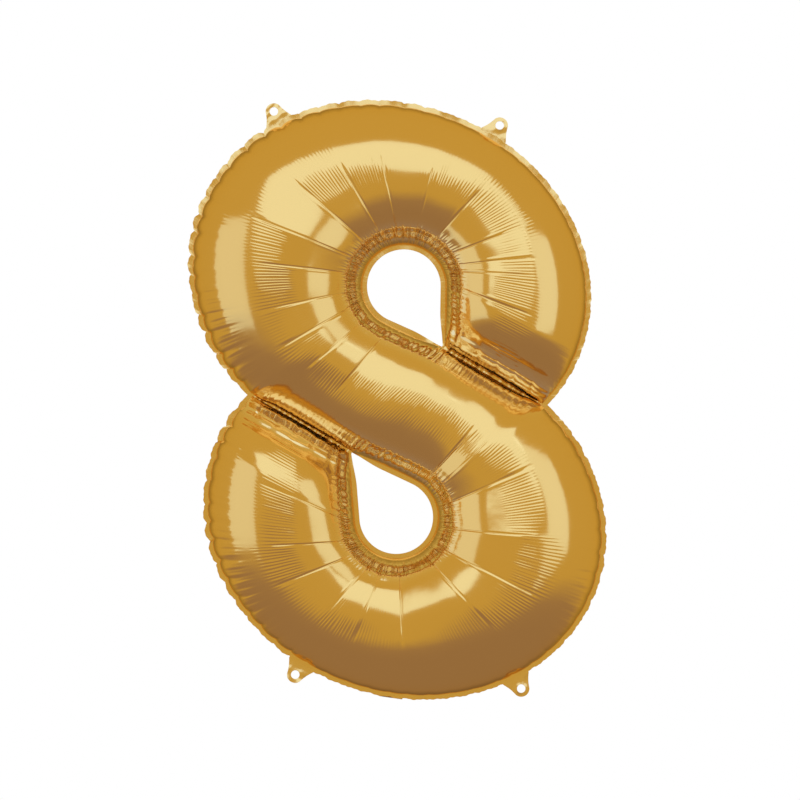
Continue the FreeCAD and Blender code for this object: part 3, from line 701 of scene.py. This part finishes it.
def foil_material(finish, name, roughness, strength):
    """Gold tinted metal film with fine pleats that follow the piece's own map, and a paler painted highlight
    tint in the crinkled folds.
    """
    material, flow = new_material(name)
    place = flow.node("ShaderNodeUVMap", {"uv_map": "Foil"})
    pleat = flow.node("ShaderNodeAttribute", {"attribute_name": "pleat"}, outlet="Fac")
    crinkle = flow.node("ShaderNodeAttribute", {"attribute_name": "crinkle"}, outlet="Fac")

    def waves(pitch, bend):
        return flow.node("ShaderNodeMath", {"operation": "SINE"}, {0: run * (2 * math.pi / pitch) + bend})

    fine = streaks(flow, place, (70.0, 12.0, 1.0), 2.0)
    run = flow.node("ShaderNodeSeparateXYZ", {}, {0: place}, "X")
    ribs = waves(PLEAT_PITCH, fine * 9.0)
    loose = streaks(flow, place, (130.0, 90.0, 1.0), 2.0)
    grain = streaks(flow, place, (900.0, 900.0, 1.0), 2.0)
    body = flow.node("ShaderNodeTexCoord", outlet="Object")
    mottle = noise(flow, body, 14.0, 3.0, 0.6)
    uneven = 0.35 + streaks(flow, place, (26.0, 7.0, 1.0), 1.0) * 1.3
    height = ribs * uneven * pleat * (finish.pleat_height * strength)
    tucks = waves(FOLD_PITCH, fine * 12.0)
    height = height + (tucks * uneven * 0.34 + loose * 0.4) * crinkle * (finish.ring_height * strength)
    height = height + mottle * 0.0004
    bump = flow.node("ShaderNodeBump", {}, {"Height": height, "Strength": 1.0, "Distance": 1.0}, "Normal")
    # Painted highlight: crinkled folds are mixed towards the paler fold colour, in place of the sparkle of
    # light on the crinkles.
    painted_fold_highlight = crinkle * (0.75 + abs(loose - 0.5) * 1.5)
    colour = flow.node(
        "ShaderNodeMix",
        {"data_type": "RGBA", "clamp_factor": True},
        {0: painted_fold_highlight, 6: (*finish.colour, 1), 7: (*finish.fold_highlight_colour, 1)},
        2,
    )
    gloss = roughness + (grain - 0.5) * 0.05 + (mottle - 0.5) * 0.05 + crinkle * 0.04
    inlets = {"Base Color": colour, "Metallic": 1.0, "Roughness": gloss, "Normal": bump}
    inlets["Specular Tint"] = (0.95, 0.78, 0.50, 1)
    show(flow, flow.node("ShaderNodeBsdfPrincipled", {}, inlets))
    return material


def film_material(finish):
    """Clear valve film with faint drawn lines."""
    material, flow = new_material("Clear_valve_film")
    body = flow.node("ShaderNodeTexCoord", outlet="Object")
    drawn = streaks(flow, body, (400.0, 60.0, 20.0), 2.0)
    bump = flow.node("ShaderNodeBump", {}, {"Height": drawn, "Strength": 0.3, "Distance": 0.0005}, "Normal")
    inlets = {"Base Color": (*finish.film_colour, 1), "Normal": bump, "Alpha": 0.55}
    inlets["Roughness"] = 0.12 + drawn * 0.15
    show(flow, flow.node("ShaderNodeBsdfPrincipled", {}, inlets))
    return material


def foil_of(kind):
    """The foil material of that kind, made once."""
    found = bpy.data.materials.get(kind)
    if found is not None:
        return found
    finish = bpy.context.scene.balloon_finish
    duller, strength = (0.05, 0.5) if kind == "Sealed_gold_foil" else (0.0, 1.0)
    return foil_material(finish, kind, finish.roughness + duller, strength)


def dress(piece, kind):
    """Gives a piece its foil as its material."""
    piece.data.materials.append(foil_of(kind))


# ------------------------------------------------------------------- operators
class BALLOON_OT_panels(bpy.types.Operator):
    """Make the two inflated foil panels"""

    bl_idname = "balloon.panels"
    bl_label = "Foil panels"

    def execute(self, context):
        sizes, finish = context.scene.balloon_digit, context.scene.balloon_finish
        digit = Digit(sizes)
        tube = Tube(digit, sizes.columns)
        across = np.linspace(0, PANEL_BREADTH, sizes.rows)
        flow = np.stack(np.broadcast_arrays(tube.along[:, None], across), -1).reshape(-1, 2)
        for name, side, node in (("Front_foil", -1, "front_panel"), ("Back_foil", 1, "back_panel")):
            grid = panel_points(digit, tube, finish, sizes.rows, side, PANEL_SEEDS[node])
            points, pleats, crinkles_and_highlight = grid
            faces = grid_faces(sizes.columns, sizes.rows, side < 0)
            strengths = {"pleat": pleats, "crinkle": crinkles_and_highlight}
            piece = new_piece(name, points.reshape(-1, 3), faces, flow, strengths)
            dress(piece, "Gold_foil")
            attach(piece, "envelope")
            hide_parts(node)
        return {"FINISHED"}


class BALLOON_OT_outer_seam(bpy.types.Operator):
    """Make the heat sealed margin round the outline"""

    bl_idname = "balloon.outer_seam"
    bl_label = "Outer seam"

    def execute(self, context):
        sizes = context.scene.balloon_digit
        digit = Digit(sizes)
        inner, outer, rise = [], [], []
        open_start, open_finish, _ = digit.crossing(0)
        share = np.linspace(0, 1, 900)
        fade = smooth_step(0, 0.02, share * (1 - share))[:, None]
        for half, sign in HALVES.items():
            rail_angle = digit.start + (digit.finish - digit.start) * share
            edge_angle = open_start + (open_finish - open_start) * share
            swing = digit.scallop(half, rail_angle)[:, None]
            rail = digit.lobe(rail_angle, sizes.seam_width + sizes.seam_bite)
            inner.append(sign * (rail + fade * swing * digit.outward(rail_angle)))
            wobble = 0.0005 * np.sin(73 * rail_angle) + 0.0003 * np.sin(187 * rail_angle + 1)
            swell = fade * (1.08 * swing + wobble[:, None])
            outer.append(sign * (digit.lobe(edge_angle, 0.0) + swell * digit.outward(edge_angle)))
            flutter = 0.0004 * np.sin(23 * rail_angle) + 0.00015 * np.sin(97 * rail_angle)
            flutter += 0.12 * swing[:, 0]
            rise.append((flutter * fade[:, 0])[:, None] * np.linspace(0, 1, STRIP_ROWS) ** 1.5)
        rails = [np.concatenate(halves) for halves in (inner, outer, rise)]
        piece = strip("Outer_seam", digit, *rails, True)
        dress(piece, "Sealed_gold_foil")
        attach(piece, "envelope")
        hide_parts("outer_heat_seal")
        return {"FINISHED"}


class BALLOON_OT_eye_seams(bpy.types.Operator):
    """Make the heat sealed margin round each eye"""

    bl_idname = "balloon.eye_seams"
    bl_label = "Eye seams"

    def execute(self, context):
        sizes = context.scene.balloon_digit
        digit = Digit(sizes)
        for half, sign in HALVES.items():
            turn = np.linspace(digit.first[half], digit.last[half], 420)
            tip = digit.corners[half] + 0 * turn[:1, None]
            runs = np.linspace(0, 1, 60)[1:-1]
            coming = share_of(digit.weld(half, 0.0, 0.002), digit.eye(half, turn[0]), runs)
            going = share_of(digit.eye(half, turn[-1]), digit.weld(half, 0.0, -0.002), runs)
            rail = np.concatenate((tip, coming, digit.eye(half, turn), going))
            ahead = np.roll(rail, -1, axis=0) - np.roll(rail, 1, axis=0)
            ahead /= np.linalg.norm(ahead, axis=1, keepdims=True)
            inwards = np.stack((-ahead[:, 1], ahead[:, 0]), -1)
            away = np.linalg.norm(rail - digit.corners[half], axis=1)
            width = sizes.seam_width * (0.36 + 0.64 * smooth_step(0.0, 0.05, away))
            inwards[0] = (digit.eyes[half] - rail[0]) / np.linalg.norm(digit.eyes[half] - rail[0])
            width[0] = 0.0034
            edge = rail + width[:, None] * inwards
            outer = rail - sizes.seam_bite * inwards
            wave = 0.0002 * np.sin(5 * np.arange(len(rail)) / 60)
            near = 0.0010 * bell(away, 0.04) * np.sin(np.arange(len(rail)) / 4.3)
            rise = (wave + near)[:, None] * np.linspace(1, 0, STRIP_ROWS) ** 1.3
            name = f"{half.capitalize()}_eye_seam"
            piece = strip(name, digit, sign * edge, sign * outer, rise, True)
            dress(piece, "Sealed_gold_foil")
            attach(piece, "envelope")
            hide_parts(f"{half}_eye_heat_seal")
        return {"FINISHED"}


class BALLOON_OT_arm_welds(bpy.types.Operator):
    """Make the puckered weld between each arm and the diagonal"""

    bl_idname = "balloon.arm_welds"
    bl_label = "Arm welds"

    def execute(self, context):
        sizes = context.scene.balloon_digit
        digit = Digit(sizes)
        share = np.linspace(0.0, 1.0, 260)
        lean = sizes.weld_width / 2 + sizes.seam_bite
        for half, sign in HALVES.items():
            rng = np.random.default_rng(PUCKER_SEEDS[half])
            fade = smooth_step(0, 0.06, share * (1 - share) * 4)
            pucker = 0.0009 * soft_waves(rng, 0.18 * share, 0 * share, 7, 0.03, 0.007) * fade
            rise = pucker[:, None] * np.sin(np.linspace(0, math.pi, STRIP_ROWS))
            near, far = (sign * digit.weld(half, share, side) for side in (-lean, lean))
            piece = strip(f"{half.capitalize()}_arm_seam", digit, near, far, rise, False)
            dress(piece, "Sealed_gold_foil")
            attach(piece, "envelope")
            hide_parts(f"{half}_arm_weld")
        return {"FINISHED"}


def tab_outline(reach, end, foot, sink):
    """Outline of a tab from its root at Z 0, with flanks that slope out to its feet."""
    slope = math.acos(end / math.hypot(foot, reach)) - math.atan2(reach, foot)
    top = np.linspace(math.pi - slope, slope, 44)
    dome = np.stack((end * np.cos(top), reach + end * np.sin(top)), -1)
    share = np.linspace(0, 1, 20)[1:]
    slant = share_of(dome[-1], np.array((foot, 0.0)), share)
    slant[:, 0] -= 0.0011 * np.sin(math.pi * share)
    root = np.stack((np.linspace(foot, -foot, 34), np.full(34, -sink)), -1)
    return np.concatenate((slant[::-1] * (-1, 1), dome, slant, root))


class BALLOON_OT_tabs(bpy.types.Operator):
    """Make the four hanging tabs with their punched holes"""

    bl_idname = "balloon.tabs"
    bl_label = "Hanging tabs"

    def execute(self, context):
        joints = {joint["child"]: joint for joint in frame["joints"]}
        holes = {mount["name"]: mount for mount in frame["record"]["mounts"]}
        for order, name in enumerate(("upper_left", "upper_right", "lower_left", "lower_right")):
            joint, hole = joints[name + "_tab"], holes[name + "_hole"]
            root = np.array(joint["pos_m"])
            out = np.array(hole["pos_m"]) - root
            reach = float(np.linalg.norm(out))
            out /= reach
            side = np.cross((0, 1, 0), out)
            radius = hole["dims"]["r_mm"] / 1000
            edge = tab_outline(reach, end=0.0115, foot=0.0200, sink=0.0030)
            turn = np.linspace(0, 2 * math.pi, 41)[:-1]
            rim = np.stack((radius * np.cos(turn), reach + radius * np.sin(turn)), -1)
            step = 0.0012
            across, up = np.meshgrid(np.arange(-0.023, 0.023, step), np.arange(-0.002, 0.028, step))
            inner = np.stack((across.ravel(), up.ravel()), -1)
            border = np.concatenate((edge, rim))
            clear = np.linalg.norm(inner[:, None, :] - border[None], axis=2).min(1) > 0.0007
            spots = np.concatenate((border, inner[clear]))
            count, holed = len(edge), len(rim)
            loops = [(i, (i + 1) % count) for i in range(count)]
            loops += [(count + i, count + (i + 1) % holed) for i in range(holed)]
            found = delaunay_2d_cdt([Vector(p) for p in spots], loops, [list(range(count))], 1, 1e-7)
            flat = np.array([tuple(p) for p in found[0]])
            faces = []
            for face in found[2]:
                middle = flat[list(face)].mean(0)
                if np.linalg.norm(middle - (0, reach)) > radius * 0.995:
                    faces.append(list(face))
            rng = np.random.default_rng(TAB_SEED + order)
            curl = 0.0009 * soft_waves(rng, flat[:, 0], flat[:, 1], 7, 0.05, 0.014)
            curl += 0.004 * (flat[:, 1] / 0.027) ** 2 * math.sin(1.9 * order + 0.6)
            curl *= smooth_step(-0.001, 0.012, flat[:, 1])
            rim_curl = 0.0004 * bell(np.linalg.norm(flat - (0, reach), axis=1) - radius, 0.002)
            points = root + flat[:, :1] * side + flat[:, 1:] * out
            points[:, 1] += curl - rim_curl
            # Crinkle strength, which also paints a faint highlight tint on the tab.
            strengths = {"pleat": np.zeros(len(flat)), "crinkle": np.full(len(flat), 0.12)}
            piece = new_piece(f"{name.capitalize()}_tab", points, faces, flat, strengths)
            thicken(piece, TAB_THICKNESS)
            face_outwards(piece)
            dress(piece, "Sealed_gold_foil")
            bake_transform(piece)
            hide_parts(name + "_tab")
        return {"FINISHED"}


class BALLOON_OT_valve_tail(bpy.types.Operator):
    """Make the folded filling tail behind the bottom seam"""

    bl_idname = "balloon.valve_tail"
    bl_label = "Valve tail"

    def execute(self, context):
        joint = next(j for j in frame["joints"] if j["child"] == "valve_tail")
        root = np.array(joint["pos_m"])
        side = np.array(joint["axis"]) / np.linalg.norm(joint["axis"])
        straight = np.cross(side, (0, 1, 0))
        if straight[2] > 0:
            straight = -straight
        fold = math.radians(104)
        out = math.cos(fold) * straight + math.sin(fold) * np.array((0, 1.0, 0))
        up = np.cross(side, out)
        length, half, corner = 0.0395, 0.016, 0.006
        columns, rows = 40, 33
        across = np.linspace(-1, 1, rows)
        down = np.linspace(0, 1, columns)
        rounding = np.clip((down * length - (length - corner)) / corner, 0, 1)
        width = half - corner * (1 - np.sqrt(1 - rounding**2 * 0.98))
        x = across[None, :] * width[:, None]
        y = down[:, None] * length + 0 * x
        puff = 0.00035 + 0.0011 * down[:, None] ** 2 * (1 - across[None, :] ** 2)
        rng = np.random.default_rng(TAIL_SEED)
        films = []
        for lift in (-1, 1):
            sag = 0.0006 * soft_waves(rng, x, y, 6, 0.05, 0.015) * down[:, None]
            offset = lift * puff + sag * 0.3
            films.append(root + x[..., None] * side + y[..., None] * out + offset[..., None] * up)
        points = np.concatenate([film.reshape(-1, 3) for film in films])
        one = grid_faces(columns, rows, False)
        faces = np.concatenate((one, one[:, ::-1] + columns * rows))
        flow = np.tile(np.stack((x.ravel(), y.ravel()), -1), (2, 1))
        # Crinkle strength, which also paints a paler highlight tint on the sleeve.
        strengths = {"pleat": np.full(len(points), 0.2), "crinkle": np.full(len(points), 0.3)}
        piece = new_piece("Valve_tail_sleeve", points, faces, flow, strengths)
        thicken(piece, TAIL_THICKNESS)
        dress(piece, "Sealed_gold_foil")
        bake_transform(piece)
        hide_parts("valve_tail")
        return {"FINISHED"}


class BALLOON_OT_valve_films(bpy.types.Operator):
    """Finish the two clear valve films inside"""

    bl_idname = "balloon.valve_films"
    bl_label = "Valve films"

    def execute(self, context):
        material = film_material(context.scene.balloon_finish)
        for name in ("valve_front_film", "valve_back_film"):
            mesh = frame["nodes"][name].data
            mesh.materials.clear()
            mesh.materials.append(material)
        return {"FINISHED"}


class BALLOON_OT_stage(bpy.types.Operator):
    """Make the floor, the soft lights and the camera"""

    bl_idname = "balloon.stage"
    bl_label = "Stage"

    def soft_box(self, name, place, width, height, brightness, colour, at):
        """A large soft light that faces a point."""
        light = bpy.data.lights.new(name, "AREA")
        light.shape, light.size, light.size_y = "RECTANGLE", width, height
        light.energy, light.color = brightness * math.pi * width * height, colour
        lamp = bpy.data.objects.new(name, light)
        bpy.context.scene.collection.objects.link(lamp)
        lamp.location = place
        lamp.rotation_euler = (Vector(at) - Vector(place)).to_track_quat("-Z", "Y").to_euler()
        lamp.visible_camera = False

    def execute(self, context):
        studio = context.scene.balloon_studio
        middle = Vector(studio.view_middle)
        select_only(frame["nodes"]["front_panel"])
        frame["nodes"]["front_panel"].select_set(False)
        bpy.ops.mesh.primitive_circle_add(
            vertices=96, radius=2.6, fill_type="NGON", location=(0, 0.3, -studio.floor_drop)
        )
        floor = context.active_object
        floor.name = "Floor"
        bpy.ops.object.transform_apply(location=True, rotation=True, scale=True)
        material, flow = new_material("Pale_floor")
        body = flow.node("ShaderNodeTexCoord", outlet="Object")
        speckle = noise(flow, body, 3.0, 4.0)
        tone = flow.node(
            "ShaderNodeMix",
            {"data_type": "RGBA"},
            {0: speckle * 0.12, 6: (*studio.floor_colour, 1), 7: (0.80, 0.80, 0.79, 1)},
            2,
        )
        show(flow, flow.node("ShaderNodeBsdfPrincipled", {}, {"Base Color": tone, "Roughness": 0.7}))
        floor.data.materials.append(material)
        floor.visible_glossy = False

        camera = bpy.data.cameras.new("Camera")
        camera.lens, camera.sensor_width = studio.lens, SENSOR_WIDTH
        eye = bpy.data.objects.new("Camera", camera)
        context.scene.collection.objects.link(eye)
        distance = studio.view_width * studio.lens / SENSOR_WIDTH
        eye.location = middle - Vector((0, distance, 0))
        eye.rotation_euler = (math.radians(90), 0, 0)
        camera.clip_start, camera.clip_end = 0.1, 60
        context.scene.camera = eye

        tint = studio.light_colour
        # Each soft light's name, place from the middle, width, height and brightness.
        lights = (
            ("Key_light", (-0.1, -2.5, 1.54), 3.5, 2.2, studio.key_light),
            ("Right_light", (2.05, -1.9, 0.45), 1.5, 2.1, studio.side_light),
            ("Left_light", (-2.55, -1.35, 0.0), 2.0, 2.4, 0.8 * studio.side_light),
        )
        for name, place, width, height, brightness in lights:
            self.soft_box(name, middle + Vector(place), width, height, brightness, tint, middle)

        world = bpy.data.worlds.new("Studio")
        context.scene.world = world
        world.use_nodes = True
        world.node_tree.nodes.clear()
        flow = Flow(world.node_tree)
        aim = flow.node("ShaderNodeTexCoord", outlet="Generated")
        split = flow.node("ShaderNodeSeparateXYZ", {}, {0: aim}, "Z")
        back = Flow(flow.tree, split.socket.node.outputs["Y"])
        room = flow.node("ShaderNodeValToRGB", {"stops": ROOM}, {0: split * 0.5 + 0.5})
        # The room behind the balloon is dimmed, from its low Y to its high Y.
        span = {"Value": back, "From Min": 0.55, "From Max": 1.0, "To Min": 1.0, "To Max": 0.45}
        behind = flow.node("ShaderNodeMapRange", {"interpolation_type": "SMOOTHSTEP"}, span)
        mirrored = flow.node("ShaderNodeLightPath", outlet="Is Glossy Ray")
        dim = flow.node("ShaderNodeBackground", {}, {"Color": room, "Strength": behind})
        bright = flow.node("ShaderNodeBackground", {}, {"Color": (1, 1, 1, 1), "Strength": 1.0})
        mixed = flow.node("ShaderNodeMixShader", {}, {0: mirrored, 1: bright, 2: dim})
        context.scene.view_settings.view_transform = "Standard"
        show(flow, mixed, "ShaderNodeOutputWorld")
        return {"FINISHED"}


STEPS = (
    BALLOON_OT_panels,
    BALLOON_OT_outer_seam,
    BALLOON_OT_eye_seams,
    BALLOON_OT_arm_welds,
    BALLOON_OT_tabs,
    BALLOON_OT_valve_tail,
    BALLOON_OT_valve_films,
    BALLOON_OT_stage,
)


class BALLOON_PT_sidebar(bpy.types.Panel):
    """Lists the balloon's pieces and their sizes"""

    bl_idname = "BALLOON_PT_sidebar"
    bl_label = "Foil balloon eight"
    bl_space_type = "VIEW_3D"
    bl_region_type = "UI"
    bl_category = "Balloon"

    def draw(self, context):
        for group in ("balloon_digit", "balloon_finish", "balloon_studio"):
            box = self.layout.box()
            settings = getattr(context.scene, group)
            for key in settings.__annotations__:
                box.prop(settings, key)
        for step in STEPS:
            self.layout.operator(step.bl_idname)


GROUPS = {"balloon_digit": DigitSizes, "balloon_finish": FoilFinish, "balloon_studio": StudioSizes}


def register():
    for name, group in GROUPS.items():
        bpy.utils.register_class(group)
        setattr(bpy.types.Scene, name, bpy.props.PointerProperty(type=group))
    for step in (*STEPS, BALLOON_PT_sidebar):
        bpy.utils.register_class(step)


def unregister():
    for step in (BALLOON_PT_sidebar, *reversed(STEPS)):
        bpy.utils.unregister_class(step)
    for name, group in GROUPS.items():
        delattr(bpy.types.Scene, name)
        bpy.utils.unregister_class(group)


def main():
    register()
    bpy.ops.balloon.panels()
    bpy.ops.balloon.outer_seam()
    bpy.ops.balloon.eye_seams()
    bpy.ops.balloon.arm_welds()
    bpy.ops.balloon.tabs()
    bpy.ops.balloon.valve_tail()
    bpy.ops.balloon.valve_films()
    bpy.ops.balloon.stage()


if __name__ == "__main__":
    main()
